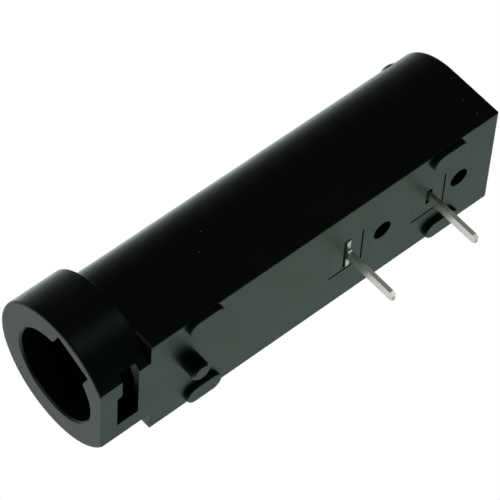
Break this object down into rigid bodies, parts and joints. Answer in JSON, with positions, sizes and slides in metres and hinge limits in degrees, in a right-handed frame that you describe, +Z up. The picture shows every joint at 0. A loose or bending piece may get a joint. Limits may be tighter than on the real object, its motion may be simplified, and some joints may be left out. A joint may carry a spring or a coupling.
{
  "type": "cartridge fuse holder",
  "caption": "Empty shock-safe cartridge fuse holder that lies flat on a circuit board: round barrel with a bayonet mouth, solder pins, feet and a locating peg.",
  "frame": {"origin": "on the board's surface, midway between the two solder pins", "axes": "+Z up from the board, barrel along Y with its mouth facing -Y, +X to the right seen from the mouth"},
  "size_m": [0.0152, 0.0474, 0.0204],
  "materials": {
    "black_housing": "fine satin moulded thermoplastic, near black",
    "black_plug": "fine satin moulded thermoplastic, near black",
    "tinned_strip": "bright tin plate on stamped brass strip",
    "plated_brass": "turned brass under thin bright nickel",
    "spring_wire": "drawn stainless spring wire"
  },
  "bodies": {
    "holder": {"housing": "black_housing", "front_terminal_plug": "black_plug", "rear_terminal_plug": "black_plug", "side_contact_strip": "tinned_strip", "end_contact_strip": "tinned_strip", "spring_seat_rivet": "plated_brass", "contact_spring": "spring_wire"},
    "button": {"contact_button": "plated_brass"},
    "tongue": {"side_contact_tongue": "tinned_strip"}
  },
  "joints": [
    {"name": "end_contact_push", "type": "slide", "parent": "holder", "child": "button", "axis": [0, 1, 0], "range_m": [0, 0.002], "stiffness_N_per_m": 1200, "springref_m": -0.0015, "deforming": ["contact_spring"]},
    {"name": "side_contact_flex", "type": "hinge", "parent": "holder", "child": "tongue", "pos_m": [0, -0.0077, 0.00169], "axis": [1, 0, 0], "range_deg": [0, 5], "stiffness_Nm_per_rad": 0.13, "springref_deg": -2.86}
  ]
}
